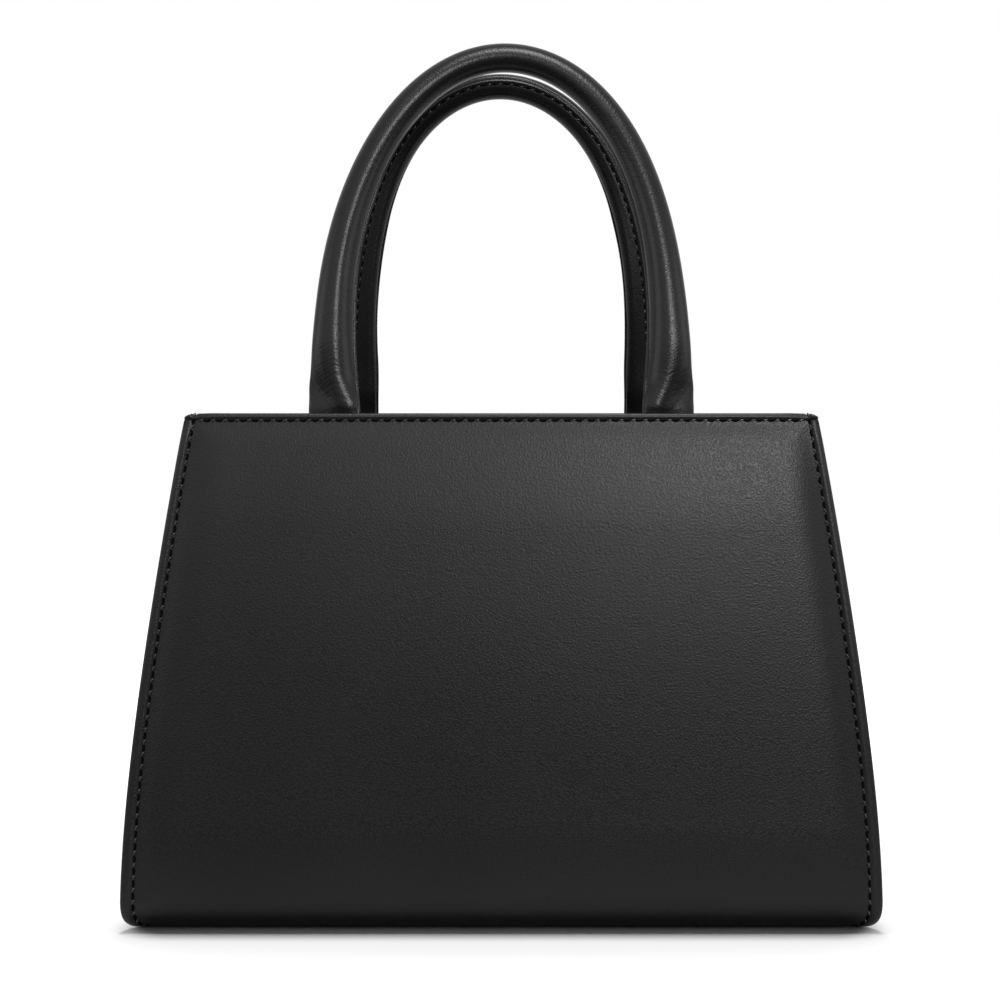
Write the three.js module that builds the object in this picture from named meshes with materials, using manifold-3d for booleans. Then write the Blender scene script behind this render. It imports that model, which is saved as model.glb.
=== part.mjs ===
// A structured leather tote: two trapezoid walls that roll under into a flat base, two creased side
// gussets sewn in with outward seams, an open lined mouth and a rolled handle sewn into each wall.
// Millimetres, +Z up, front facing -Y, origin on the floor under the middle of the base.
import * as THREE from "three";
import Module from "manifold-3d";

const wasm = await Module();
wasm.setup();

// Driving dimensions of the body
const baseWidth = 280; // widest point, from seam edge to seam edge
const topWidth = 237;
const bodyHeight = 192;
const baseDepth = 115;
const mouthDepth = 90;
const bendRadius = 12; // outside of the roll from a wall into the base
const cornerInset = 7; // each end of the base lies this far inside the widest point
const sideBow = 2.6; // how far a wall's side edge bows out from a straight line
const topCornerRadius = 3.5;
const seamFlange = 4.5; // sewn edge that stands out past a gusset
const creaseDepth = 26; // how far a gusset falls inwards at the mouth
const creaseStart = 40; // height at which a gusset starts to fall inwards
const creaseRound = 0.25; // 0 is a sharp fold

// Sheet thicknesses
const leather = 1.4;
const padding = 2.6;
const wallBoard = 1.2;
const baseBoard = 2.5;
const lining = 0.7;
const facing = 1.2;
const layerGap = 0.3; // glue line between two sheets
const swingGap = 0.8; // room at the edge of a gusset's inner sheets when a wall swings out
const facingDrop = 34; // height of the leather band inside the mouth
const paddingDrop = 6; // padding and board stop this far below the mouth's edge

// Driving dimensions of a handle
const handleSpan = 126.3; // between the middles of its two legs
const handleHeight = 144.4; // from the mouth's edge to the outside of the arch
const handleLean = THREE.MathUtils.degToRad(7.8); // inwards, from the vertical
const legHeight = 16; // straight part of a leg above its root
const archSwell = 0.83; // 1 is an ellipse, less is fuller at the shoulders
const tubeDiameter = 10.8;
const rootWidth = 19; // the roll opens into a flat tongue at its root
const rootThickness = 4.6;
const widthFlare = 48; // over this height the root's extra width falls to a third
const thicknessFlare = 18;
const coreStart = 20; // the filler cord starts this far above the root
const rootLift = 3; // the root flexes this far above the mouth's edge
const rootGap = 0.6;
const tabDrop = 30; // sewn-in end of the tongue, below the mouth's edge

// Facet counts
const bendSteps = 6;
const wallSteps = 8;
const bandSteps = 3;
const cornerSteps = 3;
const creaseSteps = 10;
const archSteps = 26;
const legSteps = 2;
const tubeSides = 12;

// A wall's outside is a straight line that is tangent to the bend and ends at the mouth.
const bendCentre = baseDepth / 2 - bendRadius;
const toMouth = new THREE.Vector2(bendCentre - mouthDepth / 2, bodyHeight - bendRadius);
const wallLean = Math.asin(bendRadius / toMouth.length()) + Math.atan2(toMouth.x, toMouth.y);
const wallLength = Math.sqrt(toMouth.lengthSq() - bendRadius ** 2);

// Depths of the wall's layers, measured inwards from its outside.
const paddingDepth = leather + layerGap;
const boardDepth = paddingDepth + padding + layerGap;
const liningDepth = boardDepth + wallBoard + layerGap;
const liningBack = liningDepth + lining;
const facingBack = liningDepth + facing;

// Heights of the base's layers.
const baseBoardFloor = leather + layerGap;
const baseLiningFloor = baseBoardFloor + baseBoard + layerGap;
const liningFloor = baseLiningFloor + lining + layerGap;

const baseHalfWidth = baseWidth / 2 - cornerInset;
const innerInset = seamFlange + leather + layerGap; // from a seam edge to the inside of a gusset
const facingFoot = bodyHeight - facingDrop;
const liningHead = facingFoot - layerGap;

const finishes = {
  leather: { color: 0x1c1c1d, roughness: 0.48, metalness: 0 },
  padding: { color: 0x6d6a66, roughness: 0.95, metalness: 0 },
  board: { color: 0x8a7a63, roughness: 0.9, metalness: 0 },
  lining: { color: 0x151516, roughness: 0.9, metalness: 0 },
  cord: { color: 0xd8d2c4, roughness: 0.95, metalness: 0 },
};

// Evenly spaced values from one end to the other, both included.
function steps(from, to, count) {
  return Array.from({ length: count + 1 }, (_, i) => from + ((to - from) * i) / count);
}

// An indexed geometry whose faces point outwards.
function solid(points, triangles) {
  const geometry = new THREE.BufferGeometry().setFromPoints(points);
  let volume = 0;
  for (const [a, b, c] of triangles) {
    volume += points[a].dot(new THREE.Vector3().crossVectors(points[b], points[c]));
  }
  const outward = volume < 0 ? triangles.map(([a, b, c]) => [a, c, b]) : triangles;
  geometry.setIndex(outward.flat());
  geometry.computeVertexNormals();
  return geometry;
}

// Triangles of a flat outline, wound the same way as the outline.
function capTriangles(ring) {
  const normal = new THREE.Vector3();
  ring.forEach((p, i) => normal.add(new THREE.Vector3().crossVectors(p, ring[(i + 1) % ring.length])));
  const across = new THREE.Vector3().subVectors(ring[1], ring[0]).normalize();
  const up = new THREE.Vector3().crossVectors(normal, across).normalize();
  const flat = ring.map((p) => new THREE.Vector2(p.dot(across), p.dot(up)));
  const area = ([a, b, c]) => flat[b].clone().sub(flat[a]).cross(flat[c].clone().sub(flat[a]));
  const triangles = THREE.ShapeUtils.triangulateShape(flat, []);
  return triangles.map((t) => (area(t) < 0 ? [t[0], t[2], t[1]] : t));
}

// Triangles of the sides between neighbouring rings, each quad split along its shorter diagonal.
function sideTriangles(rings, first = 0) {
  const sides = rings[0].length;
  const points = rings.flat();
  const triangles = [];
  for (let r = 0; r < rings.length - 1; r++) {
    for (let i = 0; i < sides; i++) {
      const a = r * sides + i;
      const b = r * sides + ((i + 1) % sides);
      const c = b + sides;
      const d = a + sides;
      const split = points[a].distanceTo(points[c]) < points[b].distanceTo(points[d]);
      triangles.push(...(split ? [[a, b, c], [a, c, d]] : [[a, b, d], [b, c, d]]));
    }
  }
  return triangles.map((t) => t.map((i) => i + first));
}

// A closed solid through a row of matching outlines.
function loft(rings) {
  const sides = rings[0].length;
  const last = (rings.length - 1) * sides;
  const foot = capTriangles(rings[0]).map(([a, b, c]) => [a, c, b]);
  const head = capTriangles(rings.at(-1)).map((t) => t.map((i) => i + last));
  return solid(rings.flat(), [...foot, ...sideTriangles(rings), ...head]);
}

// A pipe with open ends, between matching rows of outer and inner outlines.
function pipe(outer, inner) {
  const sides = outer[0].length;
  const offset = outer.length * sides;
  const triangles = sideTriangles(outer);
  for (const [a, b, c] of sideTriangles(inner, offset)) {
    triangles.push([a, c, b]);
  }
  for (const first of [0, offset - sides]) {
    for (let i = 0; i < sides; i++) {
      const a = first + i;
      const b = first + ((i + 1) % sides);
      const rim = [[a, a + offset, b + offset], [a, b + offset, b]];
      triangles.push(...(first ? rim.map(([p, q, r]) => [p, r, q]) : rim));
    }
  }
  return solid([...outer.flat(), ...inner.flat()], triangles);
}

function toManifold(geometry) {
  const vertProperties = geometry.getAttribute("position").array;
  const triVerts = new Uint32Array(geometry.getIndex().array);
  return new wasm.Manifold(new wasm.Mesh({ numProp: 3, vertProperties, triVerts }));
}

// The first solid with the others cut away.
function cut(geometry, tools) {
  const left = tools.reduce((kept, tool) => kept.subtract(toManifold(tool)), toManifold(geometry));
  const { vertProperties, triVerts } = left.getMesh();
  const made = new THREE.BufferGeometry();
  made.setAttribute("position", new THREE.BufferAttribute(vertProperties, 3));
  made.setIndex(new THREE.BufferAttribute(triVerts, 1));
  made.computeVertexNormals();
  return made;
}

function piece(name, finish, geometry) {
  const made = new THREE.Mesh(geometry, new THREE.MeshStandardMaterial(finishes[finish]));
  made.name = name;
  return made;
}

// Half the width between the seam edges at a height.
function edgeX(z) {
  if (z < bendRadius) {
    const drop = Math.min(1, (bendRadius - z) / bendRadius);
    return baseHalfWidth + cornerInset * Math.sqrt(1 - drop ** 2);
  }
  const share = (z - bendRadius) / (bodyHeight - bendRadius);
  return THREE.MathUtils.lerp(baseWidth, topWidth, share) / 2 + sideBow * 4 * share * (1 - share);
}

// Half the depth at a height, to a layer at some depth behind the outside of the straight walls.
function wallDepth(z, depth) {
  return mouthDepth / 2 + (Math.sin(wallLean) * (bodyHeight - z) - depth) / Math.cos(wallLean);
}

// The same to a layer that follows the bend under the walls.
function bentDepth(z, depth) {
  const radius = bendRadius - depth;
  const bent = bendCentre + Math.sqrt(Math.max(0, radius ** 2 - (bendRadius - z) ** 2));
  return z < bendRadius + radius * Math.sin(wallLean) ? bent : wallDepth(z, depth);
}

// A point of the front wall's section: along is measured up the wall from the top of the bend.
function wallPoint(along, depth) {
  const radius = bendRadius - depth;
  const out = bendCentre + radius * Math.cos(wallLean) - along * Math.sin(wallLean);
  const z = bendRadius + radius * Math.sin(wallLean) + along * Math.cos(wallLean);
  return { out, z };
}

// Distance up the wall to a height on a layer.
function alongAt(z, depth) {
  return (z - wallPoint(0, depth).z) / Math.cos(wallLean);
}

// Four corners of a section through the front wall, with x given for each side.
function wallRing(along, front, back, xAt) {
  const corners = [[-1, front], [1, front], [1, back], [-1, back]];
  return corners.map(([side, depth]) => {
    const { out, z } = wallPoint(along, depth);
    return new THREE.Vector3(xAt(side, z, along), -out, z);
  });
}

// A sheet of the front wall that reaches to the insides of the gussets.
function innerSheet(foot, head, front, back) {
  const xAt = (side, z) => side * (edgeX(z) - innerInset);
  return loft(steps(foot, head, wallSteps).map((along) => wallRing(along, front, back, xAt)));
}

// Outer leather of a wall, from the top of the bend to its rounded top corners.
function panelSheet() {
  const cornerFoot = wallLength - topCornerRadius;
  const xAt = (side, z, along) => {
    const rise = Math.max(0, along - cornerFoot);
    const round = topCornerRadius - Math.sqrt(Math.max(0, topCornerRadius ** 2 - rise ** 2));
    return side * (edgeX(z) - round);
  };
  const flat = steps(layerGap, cornerFoot, wallSteps);
  const corner = steps(0, Math.PI / 2, cornerSteps).map((a) => cornerFoot + topCornerRadius * Math.sin(a));
  const marks = [...flat, ...corner.slice(1)];
  return loft(marks.map((along) => wallRing(along, 0, leather, xAt)));
}

// Room for the two tongues of a handle, from a height up past the mouth.
function tongueSlots(foot) {
  const head = wallLength + rootLift;
  const half = rootWidth / 2 + layerGap;
  return [-1, 1].map((leg) => {
    const xAt = (side) => (leg * handleSpan) / 2 + side * half;
    return loft([foot, head].map((along) => wallRing(along, leather, boardDepth, xAt)));
  });
}

// Leather band inside the mouth, whose lip closes the wall's top edge round the handle's tongues.
function wallFacing() {
  const lipFloor = bodyHeight - facing;
  const section = [
    [liningDepth, facingFoot],
    [facingBack, facingFoot],
    [facingBack, bodyHeight],
    [paddingDepth, bodyHeight],
    [paddingDepth, lipFloor],
    [liningDepth, lipFloor],
  ];
  const footHalf = edgeX(facingFoot) - innerInset;
  const headHalf = edgeX(bodyHeight) - innerInset;
  const ends = [-1, 1].map((side) =>
    section.map(([depth, z]) => {
      const half = THREE.MathUtils.mapLinear(z, facingFoot, bodyHeight, footHalf, headHalf);
      return new THREE.Vector3(side * half, -wallDepth(z, depth), z);
    }),
  );
  return cut(loft(ends), tongueSlots(alongAt(facingFoot, leather)));
}

// The line on which a handle's root flexes: the outer edge of its tongue, just above the mouth.
const hinge = { z: bodyHeight + rootLift };
hinge.y = -wallDepth(hinge.z, paddingDepth + padding / 2) - rootThickness / 2;

// The sewn-in end of a handle's tongue, cut square to the handle's lean at the top.
function handleTab(x) {
  const back = paddingDepth + padding;
  const xAt = (side) => x + (side * rootWidth) / 2;
  const foot = wallRing(wallLength - tabDrop, paddingDepth, back, xAt);
  const head = wallRing(wallLength + rootLift, paddingDepth, back, xAt);
  for (const point of head) {
    point.z = hinge.z - rootGap - (point.y - hinge.y) * Math.tan(handleLean);
  }
  return loft([foot, head]);
}

function wall(name, handleSides) {
  const made = new THREE.Group();
  const paddingHead = wallLength - paddingDrop;
  const liningFoot = alongAt(liningFloor, liningBack);
  const liningTop = alongAt(liningHead, liningDepth);
  const pad = innerSheet(0, paddingHead, paddingDepth, paddingDepth + padding);
  const slots = tongueSlots(wallLength - tabDrop - layerGap);
  made.add(
    piece(`${name}_panel`, "leather", panelSheet()),
    piece(`${name}_padding`, "padding", cut(pad, slots)),
    piece(`${name}_board`, "board", innerSheet(0, paddingHead, boardDepth, boardDepth + wallBoard)),
    piece(`${name}_lining`, "lining", innerSheet(liningFoot, liningTop, liningDepth, liningBack)),
    piece(`${name}_facing`, "leather", wallFacing()),
  );
  for (const [label, side] of handleSides) {
    made.add(piece(`${name}_${label}_handle_tab`, "leather", handleTab((side * handleSpan) / 2)));
  }
  return made;
}

// Half the depth over which a gusset falls inwards, clear of the walls' inner layers.
function creaseHalf(z) {
  return wallDepth(z, facingBack) - 2 * swingGap;
}

// How far a gusset falls inwards at a point of it: two flat leaves with a rounded fold between them.
function crease(y, z) {
  const share = Math.min(1, Math.abs(y) / creaseHalf(z));
  const slope = Math.hypot(1, creaseRound) - Math.hypot(share, creaseRound);
  const rise = THREE.MathUtils.smoothstep(z, creaseStart, bodyHeight);
  return (creaseDepth * rise * slope) / (Math.hypot(1, creaseRound) - creaseRound);
}

// A line across the right gusset at a height, some distance inside its outer face.
function gussetLine(z, half, inside) {
  const outer = edgeX(z) - seamFlange - inside;
  const fold = Math.min(creaseHalf(z), half - swingGap / 2);
  const marks = [-half, ...steps(-fold, fold, creaseSteps), half];
  return marks.map((y) => new THREE.Vector3(outer - crease(y, z), y, z));
}

// Heights at which every sheet of a gusset has its facets, so that neighbours stay parallel.
function gussetHeights(foot, head) {
  const radius = bendRadius - baseBoardFloor;
  const bend = steps(0, Math.PI / 2, bendSteps).map((a) => bendRadius - radius * Math.cos(a));
  const web = steps(bendRadius, liningHead, wallSteps).slice(1);
  const band = steps(facingFoot, bodyHeight, bandSteps);
  const heights = [...bend, liningFloor, ...web, ...band];
  return heights.filter((z) => z >= foot && z <= head).sort((a, b) => a - b);
}

// Outer leather of the right gusset, with its two edges turned out along the walls' seams.
function gussetSheet() {
  const edgeDepth = leather + layerGap;
  const rings = gussetHeights(0, bodyHeight).map((z) => {
    const edge = bentDepth(z, edgeDepth);
    const turned = edge - leather;
    const tip = edgeX(z);
    return [
      new THREE.Vector3(tip, -edge, z),
      new THREE.Vector3(tip, -turned, z),
      ...gussetLine(z, turned, 0),
      new THREE.Vector3(tip, turned, z),
      new THREE.Vector3(tip, edge, z),
      ...gussetLine(z, edge, leather).reverse(),
    ];
  });
  return loft(rings);
}

// An inner sheet of the right gusset between the walls' inner layers.
function gussetInner(foot, head, thickness, wallBack) {
  const inside = leather + layerGap;
  const rings = gussetHeights(foot, head).map((z) => {
    const half = wallDepth(z, wallBack) - swingGap;
    return [...gussetLine(z, half, inside), ...gussetLine(z, half, inside + thickness).reverse()];
  });
  return loft(rings);
}

function gusset(name) {
  const made = new THREE.Group();
  made.add(
    piece(`${name}_gusset`, "leather", gussetSheet()),
    piece(`${name}_gusset_lining`, "lining", gussetInner(liningFloor, liningHead, lining, liningBack)),
    piece(`${name}_gusset_facing`, "leather", gussetInner(facingFoot, bodyHeight, facing, facingBack)),
  );
  return made;
}

// Outer leather of the base, rolled up at the front and back to meet the walls.
function basePanel() {
  const bend = steps(wallLean, -Math.PI / 2, bendSteps);
  const stations = [...bend.map((turn) => [turn, -1]), ...bend.toReversed().map((turn) => [turn, 1])];
  const rings = stations.map(([turn, face]) => {
    const corners = [[-1, 0], [1, 0], [1, leather], [-1, leather]];
    return corners.map(([side, depth]) => {
      const out = bendCentre + (bendRadius - depth) * Math.cos(turn);
      const z = bendRadius + (bendRadius - depth) * Math.sin(turn);
      return new THREE.Vector3(side * edgeX(z), face * out, z);
    });
  });
  return loft(rings);
}

// A flat sheet of the base, lying between two heights.
function baseSheet(halfWidth, half, floor, thickness) {
  const geometry = new THREE.BoxGeometry(2 * halfWidth, 2 * half, thickness);
  return geometry.translate(0, 0, floor + thickness / 2);
}

function base() {
  const made = new THREE.Group();
  const inside = baseHalfWidth - innerInset;
  const liningHalf = wallDepth(baseLiningFloor, liningDepth);
  made.add(
    piece("base_panel", "leather", basePanel()),
    piece("base_board", "board", baseSheet(inside, bendCentre, baseBoardFloor, baseBoard)),
    piece("base_lining", "lining", baseSheet(inside, liningHalf, baseLiningFloor, lining)),
  );
  return made;
}

// Middle line of a handle in its own plane, from root to root.
function handlePath() {
  const apex = (handleHeight - rootLift) / Math.cos(handleLean) - tubeDiameter / 2;
  const rise = apex - legHeight;
  const half = handleSpan / 2;
  const leg = steps(0, legHeight, legSteps).map((z) => new THREE.Vector3(-half, 0, z));
  const arch = steps(0, Math.PI, archSteps).map((a) => {
    return new THREE.Vector3(-half * Math.cos(a), 0, legHeight + rise * Math.sin(a) ** archSwell);
  });
  const farLeg = leg.map((p) => new THREE.Vector3(half, 0, p.z)).reverse();
  return [...leg, ...arch.slice(1, -1), ...farLeg];
}

// Oval outlines along a handle's path, drawn in by an inset from its outside.
function handleRings(path, inset) {
  return path.map((centre, i) => {
    const before = path[Math.max(0, i - 1)];
    const after = path[Math.min(path.length - 1, i + 1)];
    const ahead = new THREE.Vector3().subVectors(after, before).normalize();
    const across = new THREE.Vector3(ahead.z, 0, -ahead.x);
    const width = tubeDiameter + (rootWidth - tubeDiameter) * Math.exp(-centre.z / widthFlare);
    const thickness = tubeDiameter - (tubeDiameter - rootThickness) * Math.exp(-centre.z / thicknessFlare);
    const turns = steps(0, 2 * Math.PI, tubeSides).slice(0, -1);
    return turns.map((a) => {
      const point = centre.clone().addScaledVector(across, (width / 2 - inset) * Math.cos(a));
      point.y += (thickness / 2 - inset) * Math.sin(a);
      return point;
    });
  });
}

// A rolled handle round its filler cord, standing on the line where its root flexes.
function handle(name) {
  const made = new THREE.Group();
  const path = handlePath();
  const cordPath = path.filter((p) => p.z >= coreStart);
  made.add(
    piece(`${name}_handle_cover`, "leather", pipe(handleRings(path, 0), handleRings(path, leather))),
    piece(`${name}_handle_core`, "cord", loft(handleRings(cordPath, leather + layerGap))),
  );
  for (const mesh of made.children) {
    mesh.position.y = rootThickness / 2;
  }
  made.position.set(0, hinge.y, hinge.z);
  made.rotation.x = -handleLean;
  return made;
}

// The back and left pieces are the front and right ones turned half round.
function turned(group) {
  const made = new THREE.Group();
  made.rotation.z = Math.PI;
  return made.add(group);
}

const tote = new THREE.Group();
tote.add(
  wall("front", [["left", -1], ["right", 1]]),
  turned(wall("back", [["right", -1], ["left", 1]])),
  gusset("right"),
  turned(gusset("left")),
  base(),
  handle("front"),
  turned(handle("back")),
);

export default tote;
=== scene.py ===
# A structured leather tote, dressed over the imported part: sewn leather, edge paint, threads,
# lining and handles. Sizes are in millimetres, as the part's own, and become metres in the meshes.
import math

import bmesh
import bpy
import numpy as np
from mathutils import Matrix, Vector


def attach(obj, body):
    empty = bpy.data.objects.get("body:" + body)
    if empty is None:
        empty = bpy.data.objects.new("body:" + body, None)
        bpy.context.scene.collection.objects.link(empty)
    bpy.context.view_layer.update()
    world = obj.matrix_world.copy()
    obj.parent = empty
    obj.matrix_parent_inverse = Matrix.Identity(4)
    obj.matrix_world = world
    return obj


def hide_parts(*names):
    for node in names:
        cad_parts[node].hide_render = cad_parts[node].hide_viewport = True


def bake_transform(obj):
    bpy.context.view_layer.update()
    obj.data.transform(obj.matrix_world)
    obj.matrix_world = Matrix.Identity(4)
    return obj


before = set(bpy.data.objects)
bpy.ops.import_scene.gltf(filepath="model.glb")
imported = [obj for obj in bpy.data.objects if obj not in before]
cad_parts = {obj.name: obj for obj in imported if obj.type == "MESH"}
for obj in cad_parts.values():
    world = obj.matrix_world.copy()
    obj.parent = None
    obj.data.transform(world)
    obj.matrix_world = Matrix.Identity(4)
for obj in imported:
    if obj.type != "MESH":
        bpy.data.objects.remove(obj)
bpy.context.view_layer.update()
MM = 0.001

# Sizes of the body, as the part has them
BASE_WIDTH = 280.0
TOP_WIDTH = 237.0
BODY_HEIGHT = 192.0
BASE_DEPTH = 115.0
MOUTH_DEPTH = 90.0
BEND_RADIUS = 12.0
CORNER_INSET = 7.0
SIDE_BOW = 2.6
FOOT_BOW = 1.0
TOP_CORNER = 3.2
SEAM_FLANGE = 4.5
CREASE_DEPTH = 26.0
CREASE_START = 40.0
CREASE_ROUND = 0.25
LEATHER = 1.4
LINING = 0.7
FACING = 1.2
LAYER_GAP = 0.3
SWING_GAP = 0.8
FACING_DROP = 34.0
LINING_DEPTH = 6.1
BASE_LINING_TOP = 5.2

# Sizes of a handle, as the part has them
HANDLE_SPAN = 126.3
HANDLE_HEIGHT = 144.4
HANDLE_LEAN = math.radians(7.8)
LEG_HEIGHT = 16.0
ARCH_SWELL = 0.83
TUBE = 10.8
ROOT_WIDTH = 19.0
ROOT_THICKNESS = 4.6
WIDTH_FLARE = 48.0
THICKNESS_FLARE = 18.0
ROOT_LIFT = 3.0
TAB_MIDDLE = 3.0

# Sizes of the sewing and finishing, fitted to the photograph where it shows them
PITCH = 4.5
THREAD = 0.36
STITCH = 1.9
STITCH_TAPER = 0.55
STITCH_LIFT = 0.9
STITCH_SINK = 1.5
STITCH_SLANT = 0.35
HOLE_LENGTH = 2.7
HOLE_WIDTH = 1.35
TOP_INSET = 2.9
SEAM_INSET_TOP = 3.2
SEAM_INSET_FOOT = 4.2
PAINT = 0.4
GROOVE = 0.45
GROOVE_WIDTH = 0.7
GROOVE_RUN = 5.0
BAND_RISE = 0.35
BASE_PRESS = 0.25
GUSSET_DROP = 1.6
LINING_OVERLAP = 1.0
FACING_SEAM_DROP = 1.5

# Relief of the padded walls, in millimetres, and where it begins, as shares of the bend and the wall
PILLOW = 1.9
SIDE_REACH = 15.0
TOP_REACH = 42.0
PILLOW_START = 0.7
PILLOW_FULL = 0.15
BULGE = 0.8
BULGE_ROUND = 1.5
BAND_LEAN = 1.8
PRESS_START = 0.6

# Factors that bring the curves of the sides' two bows to about 1 at their peaks
MIDDLE_PEAK = 4.0
FOOT_PEAK = 9.5

# Detail of the meshes
RIM_STEPS = 3
BEAD_SIDES = 12

# Grain of the leather, smoother where it is stretched on the rolls, in metres and per metre
CLOUD_SCALE = 14.0
GRAIN_SCALE = 1500.0
GRAIN_DEPTH = 0.00006
GRAIN_ROUGHNESS = (0.42, 0.32)
STRETCHED_DEPTH = 0.00003
STRETCHED_ROUGHNESS = (0.32, 0.26)

# Creases across the rolls, in metres and per metre
CRINKLE_SCALE = 900.0
CRINKLE_DEPTH = 0.0003
CRINKLE_MIDDLE = 0.009
CRINKLE_CORE = 0.4
CRINKLE_SWEEP = 0.6
CRINKLE_STRETCH = 0.22
CRINKLE = 0.4

# Lines derived from those sizes
BASE_HALF = BASE_WIDTH / 2 - CORNER_INSET
BEND_CENTRE = BASE_DEPTH / 2 - BEND_RADIUS
TO_MOUTH = (BEND_CENTRE - MOUTH_DEPTH / 2, BODY_HEIGHT - BEND_RADIUS)
WALL_LEAN = math.asin(BEND_RADIUS / math.hypot(*TO_MOUTH)) + math.atan2(*TO_MOUTH)
WALL_LENGTH = math.sqrt(TO_MOUTH[0] ** 2 + TO_MOUTH[1] ** 2 - BEND_RADIUS**2)
BEND_LENGTH = BEND_RADIUS * (WALL_LEAN + math.pi / 2)
LEATHER_TOP = WALL_LENGTH - LEATHER / 2
GUSSET_TOP = WALL_LENGTH - GUSSET_DROP
WRAP_FOOT = -BEND_LENGTH - BEND_CENTRE
FACING_FOOT = BODY_HEIGHT - FACING_DROP
FACING_SEAMS = (BODY_HEIGHT - TOP_INSET - FACING_SEAM_DROP, FACING_FOOT + TOP_INSET)
LINING_BACK = LINING_DEPTH + LINING
FACING_BACK = LINING_DEPTH + FACING
INNER_INSET = SEAM_FLANGE + LEATHER + LAYER_GAP
SEAM_BACK = 2 * LEATHER + LAYER_GAP


# Small helpers

def smooth(value, low, high):
    """0 below low, 1 above high and a smooth rise between them."""
    share = np.clip((value - low) / (high - low), 0, 1)
    return share * share * (3 - 2 * share)


def unit(vectors):
    return vectors / np.maximum(np.linalg.norm(vectors, axis=-1, keepdims=True), 1e-9)


def stacked(x, y, z):
    return np.stack(np.broadcast_arrays(x, y, z), axis=-1).astype(float)


def once_round(sides):
    """Angles of so many points once round a ring."""
    return 2 * np.pi * np.arange(sides) / sides


def along_run(marks, run, values):
    """Rows of values at some marks, from the rows at each length of a run."""
    return np.stack([np.interp(marks, run, column) for column in values.T], axis=-1)


def as_drawn(points):
    return points


def turned(points):
    """The same points turned half round the bag's upright axis: front to back, right to left."""
    return points * np.array([-1.0, -1.0, 1.0])


def mirrored(points):
    """The same points on the other side, left for right."""
    return points * np.array([-1.0, 1.0, 1.0])


def behind(points):
    """The same points on the other wall, front for back."""
    return mirrored(turned(points))


# Meshes

def add_object(name, data):
    made = bpy.data.objects.new(name, data)
    bpy.context.scene.collection.objects.link(made)
    return made


def add_mesh(name, points, faces, material, coords):
    """A smooth mesh of points in millimetres, with a pair of surface coordinates per point."""
    mesh = bpy.data.meshes.new(name)
    mesh.from_pydata((points * MM).tolist(), [], faces)
    mesh.polygons.foreach_set("use_smooth", np.ones(len(mesh.polygons), dtype=bool))
    layer = mesh.uv_layers.new(name="surface")
    corner = np.zeros(len(mesh.loops), dtype=np.int32)
    mesh.loops.foreach_get("vertex_index", corner)
    layer.data.foreach_set("uv", (coords * MM)[corner].astype(np.float32).ravel())
    mesh.materials.append(material)
    turn_outwards(mesh)
    return add_object(name, mesh)


def turn_outwards(mesh):
    """Every face of a closed mesh looks out of it."""
    shape = bmesh.new()
    shape.from_mesh(mesh)
    bmesh.ops.recalc_face_normals(shape, faces=shape.faces)
    shape.to_mesh(mesh)
    shape.free()


def grid_faces(rows, columns, first=0, closed=False):
    """Quads between neighbouring points of a grid, wrapped round its columns where it is closed."""
    index = np.arange(rows * columns).reshape(rows, columns) + first
    after = np.roll(index, -1, axis=1) if closed else index[:, 1:]
    before = index if closed else index[:, :-1]
    quads = np.stack([before[:-1], after[:-1], after[1:], before[1:]], axis=-1)
    return quads.reshape(-1, 4).tolist()


def grid_normals(grid, outward):
    """Unit normals of a grid of points, on the side that mostly looks along outward."""
    normals = unit(np.cross(np.gradient(grid, axis=0), np.gradient(grid, axis=1)))
    return normals if np.sum(normals @ np.array(outward)) > 0 else -normals


def border(rows, columns):
    """Rows and columns of a grid's edge points, once round."""
    top = [(0, c) for c in range(columns)]
    right = [(r, columns - 1) for r in range(1, rows)]
    foot = [(rows - 1, c) for c in range(columns - 2, -1, -1)]
    left = [(r, 0) for r in range(rows - 2, 0, -1)]
    return np.array(top + right + foot + left)


def rim_rings(grid, inner, normals, edge, thickness, square):
    """Rings of points round the edge of a sheet, from its outer face over to its inner one."""
    rows, columns = grid.shape[:2]
    inside = np.clip(edge, 1, [rows - 2, columns - 2])
    front, back, facing = (values[edge[:, 0], edge[:, 1]] for values in (grid, inner, normals))
    along_edge = np.roll(front, -1, axis=0) - np.roll(front, 1, axis=0)
    away = unit(np.cross(along_edge, facing))
    from_inside = front - grid[inside[:, 0], inside[:, 1]]
    away *= np.sign(np.sum(away * from_inside, axis=-1, keepdims=True))
    on_side = {
        "first_row": edge[:, 0] == 0,
        "first_column": edge[:, 1] == 0,
        "last_column": edge[:, 1] == columns - 1,
    }
    stand = np.full(len(edge), thickness / 2)
    for side in square:
        stand[on_side[side]] = 0
    turns = np.pi * np.arange(1, RIM_STEPS + 1) / (RIM_STEPS + 1)
    return [
        (front + back) / 2 + (front - back) / 2 * math.cos(turn) + away * stand[:, None] * math.sin(turn)
        for turn in turns
    ]


def steps(points, axis):
    """Distances between neighbouring points."""
    return np.linalg.norm(np.diff(points, axis=axis), axis=-1)


def grid_coords(across, along):
    """Lengths across and along a grid up to each of its points, from the steps between them."""
    u, v = np.meshgrid(np.r_[0, np.cumsum(across)], np.r_[0, np.cumsum(along)])
    return np.stack([u, v], axis=-1).reshape(-1, 2)


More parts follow.
